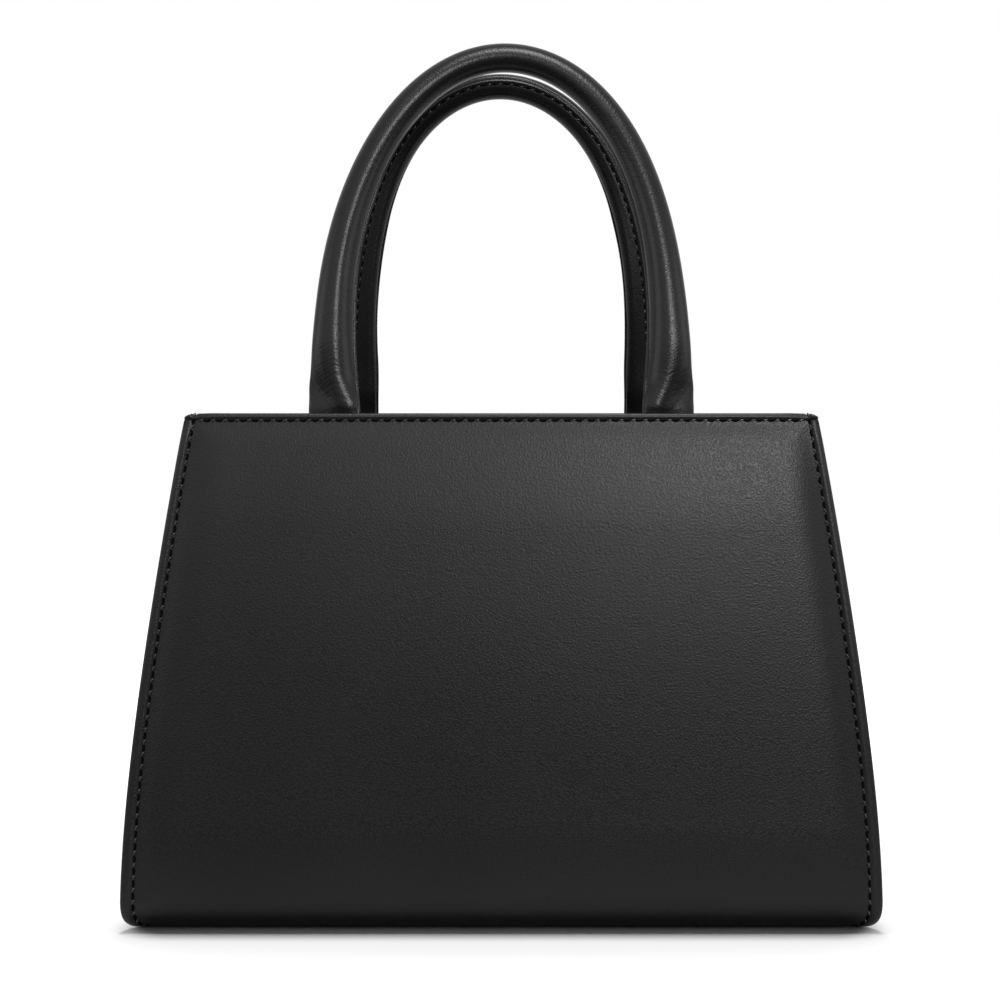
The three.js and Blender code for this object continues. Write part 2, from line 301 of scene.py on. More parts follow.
def sheet(name, grid, thickness, outward, material, square=()):
    """A closed sheet with rounded rims. Grid is its outer face, and square names rims that stay flat."""
    rows, columns = grid.shape[:2]
    size = rows * columns
    normals = grid_normals(grid, outward)
    inner = grid - thickness * normals
    edge = border(rows, columns)
    rims = rim_rings(grid, inner, normals, edge, thickness, square)
    points = np.concatenate([grid.reshape(-1, 3), inner.reshape(-1, 3), *rims])
    faces = grid_faces(rows, columns)
    faces += [face[::-1] for face in grid_faces(rows, columns, size)]
    front_loop = edge[:, 0] * columns + edge[:, 1]
    rim_loops = [2 * size + k * len(edge) + np.arange(len(edge)) for k in range(RIM_STEPS)]
    loops = [front_loop, *rim_loops, front_loop + size]
    for near, far in zip(loops, loops[1:]):
        strip = np.stack([np.roll(near, -1), near, far, np.roll(far, -1)], axis=-1)
        faces += strip.tolist()
    coords = grid_coords(steps(grid, 1).mean(axis=0), steps(grid, 0).mean(axis=1))
    coords = np.concatenate([coords, coords, *[coords[front_loop]] * RIM_STEPS])
    return add_mesh(name, points, faces, material, coords)


def tube_parts(rings, first=0):
    """Points and faces of a closed tube through matching rings, with both ends capped."""
    count, sides = rings.shape[:2]
    faces = grid_faces(count, sides, first, closed=True)
    faces.append([first + k for k in range(sides)][::-1])
    faces.append([first + (count - 1) * sides + k for k in range(sides)])
    return rings.reshape(-1, 3), faces


def joined(name, tubes, material):
    """One mesh of several tubes, with surface coordinates along and round each of them."""
    points = []
    faces = []
    coords = []
    first = 0
    for rings in tubes:
        own, own_faces = tube_parts(rings, first)
        points.append(own)
        faces += own_faces
        first += len(own)
        around_along = grid_coords(steps(rings, 1).mean(axis=0), steps(rings.mean(axis=1), 0))
        coords.append(around_along[:, ::-1])
    return add_mesh(name, np.concatenate(points), faces, material, np.concatenate(coords))


def oval_rings(centre, sideways, across, outward, out):
    """A ring about each point of a line, from its offsets along two directions."""
    offset = across[None, :, None] * sideways[:, None] + out[None, :, None] * outward[:, None]
    return centre[:, None] + offset


# Form of the body

def edge_x(z):
    """Half the width between the seam edges at a height."""
    drop = np.clip((BEND_RADIUS - z) / BEND_RADIUS, 0, 1)
    corner = BASE_HALF + CORNER_INSET * np.cbrt(1 - drop**3)
    share = (z - BEND_RADIUS) / (BODY_HEIGHT - BEND_RADIUS)
    side_bow = SIDE_BOW * MIDDLE_PEAK * share * (1 - share)
    foot_bow = FOOT_BOW * FOOT_PEAK * share * (1 - share) ** 3
    side = (BASE_WIDTH + (TOP_WIDTH - BASE_WIDTH) * share) / 2 + (side_bow + foot_bow)
    return np.where(z < BEND_RADIUS, corner, side)


MOUTH_HALF = float(edge_x(np.array(BODY_HEIGHT)))


def wall_depth(z, depth):
    """Half the bag's depth at a height, to a layer of the straight wall."""
    return MOUTH_DEPTH / 2 + (math.sin(WALL_LEAN) * (BODY_HEIGHT - z) - depth) / math.cos(WALL_LEAN)


def wrap_line(along):
    """Section of the outer leather: how far out and up it is, and its normal.
    Along is 0 at the top of the bend and grows up the wall."""
    turn = np.clip(WALL_LEAN + along / BEND_RADIUS, -np.pi / 2, WALL_LEAN)
    up = np.maximum(along, 0)
    under = np.minimum(along + BEND_LENGTH, 0)
    out = BEND_CENTRE + BEND_RADIUS * np.cos(turn) - up * math.sin(WALL_LEAN) + under
    z = BEND_RADIUS + BEND_RADIUS * np.sin(turn) + up * math.cos(WALL_LEAN)
    return out, z, np.cos(turn), np.sin(turn)


def wrap_point(x, along, depth):
    """A point some depth inside the front wall's outer leather."""
    out, z, out_normal, up_normal = wrap_line(along)
    return stacked(x, -(out - depth * out_normal), z - depth * up_normal)


def wrap_normal(along):
    """The outward normal of the plain front wall."""
    _, _, out_normal, up_normal = wrap_line(along)
    return stacked(0 * along, -out_normal, up_normal)


def seam_inset(along):
    """How far the side stitches run inside the seam's edge."""
    share = np.clip(along / WALL_LENGTH, 0, 1)
    return SEAM_INSET_FOOT + (SEAM_INSET_TOP - SEAM_INSET_FOOT) * share


def leather_half(along):
    """Half the width of the outer leather, with its rounded top corners."""
    z = wrap_line(along)[1]
    rise = np.clip(along - (LEATHER_TOP - TOP_CORNER), 0, TOP_CORNER)
    return edge_x(z) - PAINT - (TOP_CORNER - np.sqrt(TOP_CORNER**2 - rise**2))


def groove(distance, run=GROOVE_WIDTH):
    """How deep a line of stitches draws the leather in. Past the line it runs out over its own width."""
    width = np.where(distance > 0, run, GROOVE_WIDTH)
    return GROOVE * np.exp(-((distance / width) ** 2))


def swell(distance, reach):
    """Rise of padded leather with the distance from its seam."""
    return np.sin(np.pi / 2 * np.clip(distance / reach, 0, 1))


def slack(size, waves, share):
    """Slack of a sheet between its held edges, where share is 0 and 1. Each sheet has its own waves."""
    return size * np.sin(waves) * np.sin(np.pi * share)


def wrap_relief(x, along):
    """How far the front leather stands out from the plain wall.
    It is pillowed, banded at its edges and drawn in by stitches."""
    z = wrap_line(along)[1]
    side = edge_x(z) - PAINT - np.abs(x)
    top = WALL_LENGTH - along
    inset = seam_inset(along)
    lifted = smooth(along, -PILLOW_START * BEND_LENGTH, PILLOW_FULL * WALL_LENGTH)
    pillow = PILLOW * swell(side - inset, SIDE_REACH) * swell(top - TOP_INSET, TOP_REACH) * lifted
    share = np.clip(along / WALL_LENGTH, 0, 1)
    bulge = BULGE * (1 - (x / BASE_HALF) ** 2) * np.sin(np.pi * share) ** BULGE_ROUND
    side_band = np.sin(np.pi * np.clip(side / inset, 0, 1))
    top_band = np.sin(np.pi * np.clip(top / TOP_INSET, 0, 1) ** BAND_LEAN)
    band = BAND_RISE * np.maximum(side_band, top_band) * smooth(along, -BEND_LENGTH, 0)
    sewn = np.maximum(groove(side - inset, GROOVE_RUN), groove(top - TOP_INSET, GROOVE_RUN))
    return pillow + bulge + band - sewn


def wrap_surface(x, along):
    """A point on the front leather's outer face."""
    return wrap_point(x, along, -wrap_relief(x, along))


# Stitches

def stitch_shape(rings=7, sides=8):
    """One slanted stitch about its middle: along, across and up, with both ends sunk in their holes."""
    share = np.linspace(-1, 1, rings)
    turn = once_round(sides)
    radius = THREAD * (1 - STITCH_TAPER * np.abs(share) ** 5)
    run = STITCH / 2 * share
    lift = THREAD * (STITCH_LIFT - STITCH_SINK * share**4)
    across = radius[:, None] * np.cos(turn) + STITCH_SLANT * run[:, None]
    up = lift[:, None] + radius[:, None] * np.sin(turn)
    return np.stack([np.broadcast_to(run[:, None], across.shape), across, up], axis=-1)


def hole_shape(sides=12):
    """One needle hole about its middle: a long dish in the bottom of the groove, coloured near black as
    painted shade of the hole.
    """
    turn = once_round(sides)
    size = np.array([1.0, 1.0, 0.75, 0.3])[:, None]
    up = HOLE_WIDTH * np.array([-0.15, 0.19, 0.21, 0.1])[:, None]
    return stacked(HOLE_LENGTH / 2 * size * np.cos(turn), HOLE_WIDTH / 2 * size * np.sin(turn), up)


def placed(shape, line, marks):
    """A shape's rings at each mark of a line, which gives points and normals for an array of marks."""
    step = 0.05
    points, normals = line(marks)
    ahead = line(marks + step)[0]
    tangents = unit(ahead - points)
    normals = unit(normals - tangents * np.sum(normals * tangents, axis=-1, keepdims=True))
    axes = np.stack([tangents, np.cross(normals, tangents), normals], axis=1)
    rings = np.einsum("rsk,nkd->nrsd", shape, axes) + points[:, None, None, :]
    return list(rings)


def seam(line, marks, scale=1.0):
    """Threads at the marks of a line, and between them dark dishes that paint the shade of needle holes.
    """
    holes = placed(scale * hole_shape(), line, marks[:-1] + PITCH / 2)
    return placed(scale * stitch_shape(), line, marks), holes


def sewing(name, place, seams):
    """Some seams as two pieces: their threads and the dark dishes that paint the shade of their needle
    holes.
    """
    threads = [place(rings) for seam_threads, _ in seams for rings in seam_threads]
    holes = [place(rings) for _, seam_holes in seams for rings in seam_holes]
    return joined(f"{name}_stitches", threads, thread), joined(f"{name}_painted_hole_shades", holes, hole_shade)


def marks_between(low, high, phase=0.0):
    """Middles of whole stitches from low to high, in step with a phase."""
    first = math.ceil((low - phase) / PITCH + 0.5)
    last = math.floor((high - phase) / PITCH - 0.5)
    return phase + PITCH * np.arange(first, last + 1)


# Materials

TEXTURE_RANGE = (0.3, 0.7)


def add_node(tree, kind, inputs=(), **settings):
    """A shader node. Inputs are pairs of a socket's name or number and a value or a node's output."""
    made = tree.nodes.new(kind)
    for name, value in settings.items():
        setattr(made, name, value)
    for socket, value in inputs:
        if isinstance(value, bpy.types.NodeSocket):
            tree.links.new(value, made.inputs[socket])
        else:
            made.inputs[socket].default_value = value
    return made


def grey(level, warmth=0.0):
    return (level * (1 + warmth), level, level * (1 - warmth), 1)


def blank_material(name):
    made = bpy.data.materials.new(name)
    made.use_nodes = True
    made.node_tree.nodes.clear()
    return made, made.node_tree


def object_place(tree):
    return add_node(tree, "ShaderNodeTexCoord").outputs["Object"]


def surface_place(tree):
    return add_node(tree, "ShaderNodeUVMap", uv_map="surface").outputs["UV"]


def parts_of(tree, vector):
    return add_node(tree, "ShaderNodeSeparateXYZ", [(0, vector)]).outputs


def noise(tree, vector, scale, detail=3.0, rough=0.5):
    inputs = [("Vector", vector), ("Scale", scale), ("Detail", detail), ("Roughness", rough)]
    return add_node(tree, "ShaderNodeTexNoise", inputs).outputs["Fac"]


def waves(tree, vector, scale, distortion, detail, direction):
    inputs = [("Vector", vector), ("Scale", scale), ("Distortion", distortion), ("Detail", detail)]
    return add_node(tree, "ShaderNodeTexWave", inputs, bands_direction=direction).outputs["Fac"]


def math_node(tree, operation, a, b=0.0):
    return add_node(tree, "ShaderNodeMath", [(0, a), (1, b)], operation=operation).outputs[0]


def mapped(tree, value, ends, results, **settings):
    """A value between two ends, carried over to between two results."""
    inputs = [("Value", value), ("From Min", ends[0]), ("From Max", ends[1])]
    inputs += [("To Min", results[0]), ("To Max", results[1])]
    return add_node(tree, "ShaderNodeMapRange", inputs, **settings).outputs["Result"]


def ranged(tree, value, low, high):
    """A texture's middle range spread between two values."""
    return mapped(tree, value, TEXTURE_RANGE, (low, high))


def shades(tree, value, dark, light):
    """A colour between two, chosen by a texture."""
    made = add_node(tree, "ShaderNodeValToRGB", [("Fac", value)])
    for stop, position, colour in zip(made.color_ramp.elements, TEXTURE_RANGE, (dark, light)):
        stop.position = position
        stop.color = colour
    return made.outputs["Color"]


def bump(tree, height, strength, distance, below=None):
    inputs = [("Height", height), ("Strength", strength), ("Distance", distance)]
    if below is not None:
        inputs.append(("Normal", below))
    return add_node(tree, "ShaderNodeBump", inputs).outputs["Normal"]


def surfaced(tree, colour, roughness, normal, specular):
    inputs = [("Base Color", colour), ("Roughness", roughness), ("Normal", normal)]
    inputs.append(("Specular IOR Level", specular))
    shader = add_node(tree, "ShaderNodeBsdfPrincipled", inputs)
    add_node(tree, "ShaderNodeOutputMaterial", [("Surface", shader.outputs["BSDF"])])


def crosswise_creases(tree):
    """Height of fine creases across a roll, swept back from the middle of its outer face."""
    along, around = parts_of(tree, surface_place(tree))[:2]
    off_middle = math_node(tree, "ABSOLUTE", math_node(tree, "SUBTRACT", around, CRINKLE_MIDDLE))
    swept = math_node(tree, "ADD", along, math_node(tree, "MULTIPLY", off_middle, CRINKLE_SWEEP))
    across = math_node(tree, "MULTIPLY", around, CRINKLE_STRETCH)
    place = add_node(tree, "ShaderNodeCombineXYZ", [("X", swept), ("Y", across)]).outputs[0]
    reach = mapped(tree, off_middle, (CRINKLE_CORE * CRINKLE_MIDDLE, CRINKLE_MIDDLE), (1.0, 0.0))
    return math_node(tree, "MULTIPLY", reach, noise(tree, place, CRINKLE_SCALE, rough=0.55))


def leather_material(name, grain_depth, roughness, crinkle):
    """Smooth black leather with a fine grain, and crosswise creases where it is rolled."""
    made, tree = blank_material(name)
    place = object_place(tree)
    grain = noise(tree, place, GRAIN_SCALE, detail=0.0)
    cloud = noise(tree, place, CLOUD_SCALE, detail=2.0)
    normal = bump(tree, grain, strength=1.0, distance=grain_depth)
    if crinkle:
        normal = bump(tree, crosswise_creases(tree), crinkle, CRINKLE_DEPTH, normal)
    colour = shades(tree, cloud, grey(0.0042), grey(0.006, warmth=0.02))
    surfaced(tree, colour, ranged(tree, grain, *roughness), normal, specular=0.2)
    return made


def follow(tree, texture, relief, tones, roughness, specular):
    """Relief, colour and roughness that all follow one texture."""
    normal = bump(tree, texture, *relief)
    colour = shades(tree, texture, *tones)
    surfaced(tree, colour, ranged(tree, texture, *roughness), normal, specular)


def uneven_material(name, tones, roughness, relief, specular, **texture):
    """A material that follows one noise."""
    made, tree = blank_material(name)
    follow(tree, noise(tree, object_place(tree), **texture), relief, tones, roughness, specular)
    return made


def fibre_material(name, dark, light, scale):
    """Foam, board or cord inside the walls and handles."""
    look = {"roughness": (0.82, 0.96), "relief": (0.5, 0.0004), "specular": 0.2}
    return uneven_material(name, (dark, light), **look, scale=scale, detail=5.0, rough=0.65)


def thread_material():
    """Black twisted sewing thread."""
    made, tree = blank_material("black_thread")
    twist = waves(tree, surface_place(tree), 420.0, distortion=1.5, detail=2.0, direction="DIAGONAL")
    follow(tree, twist, (0.6, 0.00012), (grey(0.006), grey(0.02)), (0.3, 0.42), specular=0.5)
    return made


def lining_material():
    """Matt black woven lining."""
    made, tree = blank_material("woven_lining")
    surface = surface_place(tree)
    warp = waves(tree, surface, 520.0, distortion=0.8, detail=1.0, direction="X")
    weft = waves(tree, surface, 520.0, distortion=0.8, detail=1.0, direction="Y")
    weave = math_node(tree, "MAXIMUM", warp, weft)
    slub = noise(tree, surface, scale=240.0, detail=4.0, rough=0.6)
    normal = bump(tree, slub, strength=0.3, distance=0.0003)
    normal = bump(tree, weave, strength=0.5, distance=0.00015, below=normal)
    colour = shades(tree, math_node(tree, "MULTIPLY", weave, slub), grey(0.008), grey(0.026))
    surfaced(tree, colour, ranged(tree, slub, 0.75, 0.92), normal, specular=0.2)
    return made


leather = leather_material("black_leather", GRAIN_DEPTH, GRAIN_ROUGHNESS, crinkle=0.0)
rolled_leather = leather_material("rolled_leather", STRETCHED_DEPTH, STRETCHED_ROUGHNESS, CRINKLE)
edge_paint = uneven_material(
    "edge_paint", (grey(0.005), grey(0.008)), (0.28, 0.4), (0.3, 0.0002), specular=0.25, scale=420.0
)
thread = thread_material()
# Near black with almost no gloss: painted shade standing in for the depth of the needle holes.
hole_shade = uneven_material(
    "painted_hole_shade", (grey(0.0008), grey(0.002)), (0.85, 0.95), (0.3, 0.0001), specular=0.03,
    scale=3000.0, detail=2.0,
)
lining_cloth = lining_material()
cotton_cord = fibre_material("cotton_cord", (0.5, 0.46, 0.38, 1), (0.72, 0.68, 0.58, 1), 500.0)
inner_finishes = {
    "padding": fibre_material("foam", grey(0.22, 0.05), grey(0.36, 0.05), 900.0),
    "board": fibre_material("fibre_board", (0.17, 0.13, 0.08, 1), (0.3, 0.24, 0.16, 1), 260.0),
}
for node_name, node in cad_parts.items():
    for ending, finish in inner_finishes.items():
        if node_name.endswith(ending):
            node.data.materials.clear()
            node.data.materials.append(finish)

walls = {"front": as_drawn, "back": turned}


def across_bend(piece, wall):
    """Bakes the piece's placement into its mesh. The points at both ends of the bend are found but not
    used.
    """
    reach = 0.6 * BEND_LENGTH
    points = [wrap_point(0.0, np.array(along), 0.0) for along in (-reach, reach)]
    ends = [walls[wall](point) * MM for point in points]
    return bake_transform(piece)


# Outer leather of a wall, down round the bend to the middle of the base

def wrap_rows():
    """Places along the leather from the middle of the base to the mouth, closest together at the top."""
    fine_top = 9.0
    under = np.linspace(WRAP_FOOT, -BEND_LENGTH, 20)[:-1]
    bend = np.linspace(-BEND_LENGTH, 0, 20)[:-1]
    wall = np.linspace(0, WALL_LENGTH - fine_top, 150)[:-1]
    top = np.linspace(WALL_LENGTH - fine_top, LEATHER_TOP, 24)
    return np.concatenate([under, bend, wall, top])


def wrap_columns(half):
    """Places across the leather for an array of half widths, closest together at its sides."""
    fine_edge = 8.0
    distance = np.linspace(0, fine_edge, 21)[:-1]
    right = half[:, None] - distance[None, ::-1]
    middle = (half - fine_edge)[:, None] * np.linspace(-1, 1, 196)[None, :]
    return np.concatenate([-right[:, ::-1], middle, right], axis=1)


def wrap_grid():
    along = wrap_rows()
    x = wrap_columns(leather_half(along))
    return wrap_surface(x, np.broadcast_to(along[:, None], x.shape))


def edge_bead():
    """Rings of the paint on the right seam's edge, from the middle of the base to the top corner.
    On its hidden side the paint is narrower and goes in deeper."""
    almost_level = 0.47 * np.pi
    corner = LEATHER_TOP - TOP_CORNER * (1 - np.sin(np.linspace(0, almost_level, 11)))
    along = np.concatenate([np.linspace(WRAP_FOOT, LEATHER_TOP - TOP_CORNER, 150)[:-1], corner])
    centre = wrap_point(leather_half(along), along, SEAM_BACK / 2)
    normals = wrap_normal(along)
    tangents = unit(np.gradient(centre, axis=0))
    outward = unit(np.cross(tangents, normals))
    outward *= np.sign(outward[0, 0])
    turn = once_round(BEAD_SIDES)
    hidden = np.sin(turn) < 0
    across = SEAM_BACK / 2 * np.cos(turn) * np.where(hidden, 0.8, 1.0)
    bulge = PAINT * np.sin(turn) * np.where(hidden, 1.2, 1.0)
    return oval_rings(centre, normals, across, outward, bulge)


def seam_x(along):
    """Half the width between the two lines of side stitches."""
    return edge_x(wrap_line(along)[1]) - PAINT - seam_inset(along)


def side_seam(along):
    """The line of the right seam's stitches on the outer leather, pressed in under the base."""
    x = seam_x(along)
    pressed = BASE_PRESS * smooth(-along, PRESS_START * BEND_LENGTH, BEND_LENGTH)
    return wrap_point(x, along, pressed - wrap_relief(x, along)), wrap_normal(along)


def top_seam(x):
    """The line of the stitches along the top edge."""
    along = np.full_like(x, WALL_LENGTH - TOP_INSET)
    return wrap_surface(x, along), wrap_normal(along)


def seam_behind(along):
    """The same stitches where they come through the gusset's turned-out edge."""
    return wrap_point(seam_x(along), along, SEAM_BACK), -wrap_normal(along)


def wrap_seams():
    """The seams of a wall's leather: right, left and top. The side stitches end at the top corner."""
    corner_stitch = WALL_LENGTH - STITCH / 2
    past_corner = corner_stitch + 0.6 * PITCH
    side_marks = marks_between(WRAP_FOOT, past_corner, corner_stitch)
    top_half = MOUTH_HALF - PAINT - SEAM_INSET_TOP
    right = seam(side_seam, side_marks)
    left = [[mirrored(rings) for rings in shapes] for shapes in right]
    return [right, left, seam(top_seam, marks_between(-top_half, top_half))]


def dress_wrap(wall):
    place = walls[wall]
    outward = place(np.array([0.0, -1.0, 0.0]))
    wrap = sheet(f"{wall}_leather", place(wrap_grid()), LEATHER, outward, leather, square=["first_row"])
    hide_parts(f"{wall}_panel", "base_panel")
    bead = edge_bead()
    paint = joined(f"{wall}_edge_paint", [place(bead), place(mirrored(bead))], edge_paint)
    for piece in (wrap, paint, *sewing(wall, place, wrap_seams())):
        across_bend(piece, wall)


# Gussets: each is drawn as a front and a back half that meet on its fold

FILLET = 1.1
LEAST_FLANGE = 0.2
LEAF_LIFT = 27.0
LEAF_FADE = 40.0
FOLD_FOOT = 7.0
FOLD_STEP = 0.8
GATHER_REACH = 5.0
TOP_PAINT_DROP = 1.7
TOP_PAINT_RISE = 0.85
TOP_PAINT_EDGE = 0.15
GUSSET_FACING_DROP = 1.5
GUSSET_BLEND = (-3.0, -38.0)


def crease(y, z):
    """How far a gusset falls inwards: two flat leaves with a rounded fold between them."""
    share = np.minimum(1, np.abs(y) / (wall_depth(z, FACING_BACK) - 2 * SWING_GAP))
    slope = np.hypot(1, CREASE_ROUND) - np.hypot(share, CREASE_ROUND)
    rise = smooth(z, CREASE_START, BODY_HEIGHT)
    return CREASE_DEPTH * rise * slope / (math.hypot(1, CREASE_ROUND) - CREASE_ROUND)


def fold_height(along):
    """Height on the fold that a place on the seam is joined to across the gusset."""
    z = wrap_line(along)[1]
    above = z + LEAF_LIFT * np.exp(-along / LEAF_FADE) * (1 - along / WALL_LENGTH)
    share = (along - WRAP_FOOT) / -WRAP_FOOT
    below = FOLD_FOOT + (BEND_RADIUS + LEAF_LIFT + FOLD_STEP - FOLD_FOOT) * share
    return np.where(along > 0, above, below)


def gusset_web(along, edge):
    """The right gusset's front half between its fillet and its fold, with a little slack."""
    crowding = 1.25
    share = np.linspace(0, 1, 36)[None, :] ** crowding
    rim = wrap_point(0.0, along, SEAM_BACK + FILLET)
    y = rim[..., 1] * (1 - share)
    z = rim[..., 2] + (fold_height(along) - rim[..., 2]) * share
    away = np.hypot(y - rim[..., 1], z - rim[..., 2])
    gathered = (edge_x(rim[..., 2]) - edge) * np.exp(-away / GATHER_REACH)
    loose = slack(0.5, z / 17.0 + 0.6, share)
    return stacked(edge_x(z) - SEAM_FLANGE - crease(y, z) - gathered + loose, y, z)


def gusset_grid():
    """Outer face of the right gusset's front half: turned-out edge, fillet, then the web to the fold."""
    below = np.linspace(WRAP_FOOT, 0, 40)[:-1]
    along = np.concatenate([below, np.linspace(0, GUSSET_TOP, 110)])[:, None]
    edge = edge_x(wrap_line(along)[1])
    root = edge - SEAM_FLANGE + FILLET
    flange = np.linspace(1, 0, 6)[None, :-1]
    reach = np.maximum(leather_half(along) - root, LEAST_FLANGE)
    on_flange = wrap_point(root + reach * flange, along + 0 * flange, SEAM_BACK)
    turn = np.linspace(0, np.pi / 2, 6)[None, :-1]
    fillet_x = edge - SEAM_FLANGE + FILLET * (1 - np.sin(turn))
    on_fillet = wrap_point(fillet_x, along + 0 * turn, SEAM_BACK + FILLET * (1 - np.cos(turn)))
    return np.concatenate([on_flange, on_fillet, gusset_web(along, edge)], axis=1)


def gusset_inner_grid(foot, head, thickness, wall_layer, rows):
    """Inner face of a sheet of the right gusset's front half, from the fold to a layer of the wall."""
    inside = LEATHER + LAYER_GAP + thickness
    z = np.linspace(foot, head, rows)[:, None]
    share = np.linspace(0, 1, 30)[None, :]
    y = -wall_depth(z, wall_layer) * share
    loose = slack(0.35, z / 13.0, share)
    return stacked(edge_x(z) - SEAM_FLANGE - inside - crease(y, z) + loose, y, z + 0 * share)


quarters = {
    ("right", "front"): as_drawn,
    ("left", "front"): mirrored,
    ("right", "back"): behind,
    ("left", "back"): turned,
}


def across_gusset(piece, wall):
    """Bakes the piece's placement into its mesh. Two points on the wall's middle line are found but not
    used.
    """
    points = [np.array([0.0, y, BODY_HEIGHT / 2]) for y in GUSSET_BLEND]
    start, end = [walls[wall](point) * MM for point in points]
    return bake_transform(piece)


def gusset_top_bead():
    """Rings of the paint along the top of the right gusset's front half."""
    reach = float(wall_depth(BODY_HEIGHT, LEATHER + LAYER_GAP))
    y = -np.linspace(0, reach, 40)
    thick = (LEATHER + LAYER_GAP + FACING) / 2
    z = BODY_HEIGHT - TOP_PAINT_DROP
    centre = stacked(edge_x(np.full_like(y, z)) - SEAM_FLANGE - thick - crease(y, z), y, z)
    tangents = unit(np.gradient(centre, axis=0))
    upright = np.array([[0.0, 0.0, 1.0]])
    outward = unit(np.cross(tangents, upright))
    turn = once_round(BEAD_SIDES)
    across = (thick + TOP_PAINT_EDGE) * np.cos(turn)
    return oval_rings(centre, outward, across, upright, TOP_PAINT_RISE * np.sin(turn))


def dress_gusset(side, wall):
    place = quarters[side, wall]
    name = f"{side}_gusset_{wall}"
    outward = place(np.array([1.0, 0.0, 0.0]))
    square = ["last_column", "first_row"]
    outer = sheet(name, place(gusset_grid()), LEATHER, outward, leather, square)
    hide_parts(f"{side}_gusset")
    head = FACING_FOOT + LINING_OVERLAP
    cloth_face = gusset_inner_grid(BASE_LINING_TOP, head, LINING, LINING_DEPTH, rows=70)
    cloth = sheet(f"{name}_lining", place(cloth_face), LINING, -outward, lining_cloth, ["first_column"])
    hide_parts(f"{side}_gusset_lining")
    head = BODY_HEIGHT - GUSSET_FACING_DROP
    band_face = gusset_inner_grid(FACING_FOOT, head, FACING, FACING_BACK - LAYER_GAP, rows=24)
    band = sheet(f"{name}_facing", place(band_face), FACING, -outward, leather, ["first_column"])
    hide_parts(f"{side}_gusset_facing")
    paint = joined(f"{name}_edge_paint", [place(gusset_top_bead())], edge_paint)
    marks = marks_between(WRAP_FOOT, WALL_LENGTH, WALL_LENGTH)
    for piece in (outer, cloth, band, paint, *sewing(name, place, [seam(seam_behind, marks)])):
        across_gusset(piece, wall)


# Inside of the walls and the base

def wall_lining_grid():
    """Inner face of a wall's lining, a little slack between its edges."""
    z = np.linspace(BASE_LINING_TOP, FACING_FOOT + LINING_OVERLAP, 60)[:, None]
    share = np.linspace(-1, 1, 90)[None, :]
    x = (edge_x(z) - INNER_INSET) * share
    rise = (z - BASE_LINING_TOP) / (FACING_FOOT - BASE_LINING_TOP)
    loose = slack(0.6, x / 19.0 + 1.3 * np.sin(z / 31.0), np.clip(rise, 0, 1))
    stand_off = 0.1
    return stacked(x, -wall_depth(z, LINING_BACK) - 0.5 * loose - stand_off, z + 0 * x)


def facing_section():
    """Depth and height of the facing's face: up inside the mouth, over its lip, behind the leather."""
    lip_half = (FACING_BACK - LEATHER) / 2
    lip_rise = 1.6
    lip_drop = 0.3
    flatness = 0.7
    up = np.linspace(FACING_FOOT, BODY_HEIGHT - lip_rise, 26)
    turn = np.linspace(0, np.pi, 15)[1:]
    over_depth = (FACING_BACK + LEATHER) / 2 + lip_half * np.cos(turn)
    over_height = BODY_HEIGHT - lip_rise + (lip_rise - lip_drop) * np.sin(turn) ** flatness
    depth = np.concatenate([np.full_like(up, FACING_BACK), over_depth])
    height = np.concatenate([up, over_height])
    return depth[:, None], height[:, None]


def wall_facing_grid():
    """Face of a wall's facing, drawn in along both of its seams."""
    depth, z = facing_section()
    x = (edge_x(z) - INNER_INSET) * np.linspace(-1, 1, 180)[None, :]
    below_lip = smooth(z, BODY_HEIGHT - 1.0, BODY_HEIGHT - 4.0) * (depth > FACING_BACK - 0.1)
    sewn = groove(z - FACING_SEAMS[0]) * below_lip + groove(z - FACING_SEAMS[1])
    return stacked(x, -wall_depth(z, depth - sewn), z + 0 * x)


def facing_line(z):
    """A line of stitches across the facing at a height."""
    def line(x):
        depth = FACING_BACK - GROOVE
        normals = stacked(0 * x, math.cos(WALL_LEAN), -math.sin(WALL_LEAN))
        return stacked(x, -wall_depth(z, depth), z), normals
    return line


def dress_inside(wall):
    place = walls[wall]
    inward = place(np.array([0.0, 1.0, 0.0]))
    cloth_face = wall_lining_grid()
    cloth = sheet(f"{wall}_wall_lining", place(cloth_face), LINING, inward, lining_cloth)
    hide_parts(f"{wall}_lining")
    band = sheet(f"{wall}_wall_facing", place(wall_facing_grid()), FACING, inward, leather)
    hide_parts(f"{wall}_facing")
    half = MOUTH_HALF - INNER_INSET
    rows = [seam(facing_line(z), marks_between(-half, half)) for z in FACING_SEAMS]
    for piece in (cloth, band, *sewing(f"{wall}_facing", place, rows)):
        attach(piece, f"{wall}_wall")


def dress_base():
    corner_room = 4.0
    half_width = BASE_HALF - INNER_INSET + corner_room
    half_depth = float(wall_depth(BASE_LINING_TOP, LINING_DEPTH))
    across = np.linspace(-half_width, half_width, 90)
    x, y = np.meshgrid(across, np.linspace(-half_depth, half_depth, 40))
    loose = 0.25 * np.sin(x / 23.0 + np.sin(y / 17.0)) * np.sin(y / 21.0)
    face = stacked(x, y, BASE_LINING_TOP + loose)
    cloth = sheet("floor_lining", face, LINING, [0.0, 0.0, 1.0], lining_cloth)
    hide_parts("base_lining")
    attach(cloth, "bag_body")


# Handles

HINGE_Z = BODY_HEIGHT + ROOT_LIFT
HINGE_Y = -wall_depth(HINGE_Z, TAB_MIDDLE) - ROOT_THICKNESS / 2
APEX = (HANDLE_HEIGHT - ROOT_LIFT) / math.cos(HANDLE_LEAN) - TUBE / 2
ROOT_BEND = (BODY_HEIGHT - 2.0, BODY_HEIGHT + 14.0)

